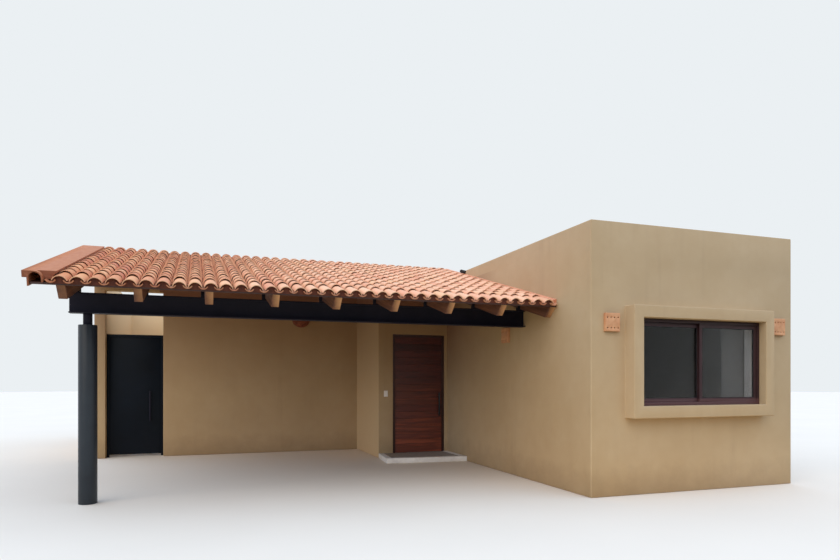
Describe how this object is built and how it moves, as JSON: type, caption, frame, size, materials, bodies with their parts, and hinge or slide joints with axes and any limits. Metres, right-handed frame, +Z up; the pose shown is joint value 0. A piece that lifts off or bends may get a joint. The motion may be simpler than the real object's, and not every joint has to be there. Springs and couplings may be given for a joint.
{
  "type": "adobe-style house with tiled carport",
  "caption": "Flat-roofed rendered house with a boxed window, a clay-tiled lean-to carport roof on a steel beam and column, a recessed entry and a gated side passage.",
  "frame": {"origin": "middle of the footprint's box, on the ground", "axes": "+X runs right along the front wall, +Y back into the house, +Z up"},
  "size_m": [10.382, 12.79, 3.9077],
  "materials": {
    "render": "matte rendered plaster",
    "concrete": "matte",
    "beam_paint": "satin",
    "column_paint": "satin",
    "timber": "stained, satin",
    "roof_clay": "matte fired clay",
    "window_paint": "satin",
    "window_glass": "clear",
    "door_wood": "varnished",
    "handle_paint": "satin",
    "gate_paint": "satin",
    "step_stone": "honed",
    "lamp_clay": "matte fired clay",
    "switch_plastic": "matte"
  },
  "bodies": {
    "house": {"floor_slab": "concrete", "front_wall": "render", "side_wall": "render", "right_wall": "render", "rear_wall": "render", "passage_inner_wall": "render", "passage_outer_wall": "render", "carport_back_wall": "render", "entry_side_wall": "render", "entry_left_jamb": "render", "entry_right_jamb": "render", "entry_lintel": "render", "gate_lintel": "render", "front_roof": "concrete", "entry_roof": "concrete", "rear_roof": "concrete", "carport_slab": "render", "porch_slab": "render", "edge_beams": "render", "steel_beam": "beam_paint", "column": "column_paint", "column_neck": "column_paint", "rafters": "timber", "rafter_brackets": "beam_paint", "carport_boards": "timber", "porch_boards": "timber", "carport_tiles": "roof_clay", "porch_tiles": "roof_clay", "verge_tiles": "roof_clay", "window_surrounds": "render", "window_frames": "window_paint", "window_sashes": "window_paint", "window_glass": "window_glass", "door_frame": "door_wood", "gate_frame": "gate_paint", "entry_step": "step_stone", "box_lamps": "lamp_clay", "bowl_lamp": "lamp_clay", "switch_plate": "switch_plastic"},
    "door_leaf": {"front_door": "door_wood", "door_handle": "handle_paint"},
    "gate_leaf": {"gate": "gate_paint", "gate_handle": "gate_paint"}
  },
  "joints": [
    {"name": "door_hinge", "type": "hinge", "parent": "house", "child": "door_leaf", "pos_m": [0.505, -1.046, 0.093], "axis": [0, 0, 1], "range_deg": [0, 90]},
    {"name": "gate_hinge", "type": "hinge", "parent": "house", "child": "gate_leaf", "pos_m": [-4.947, 0.899, 0.045], "axis": [0, 0, 1], "range_deg": [0, 90]}
  ]
}
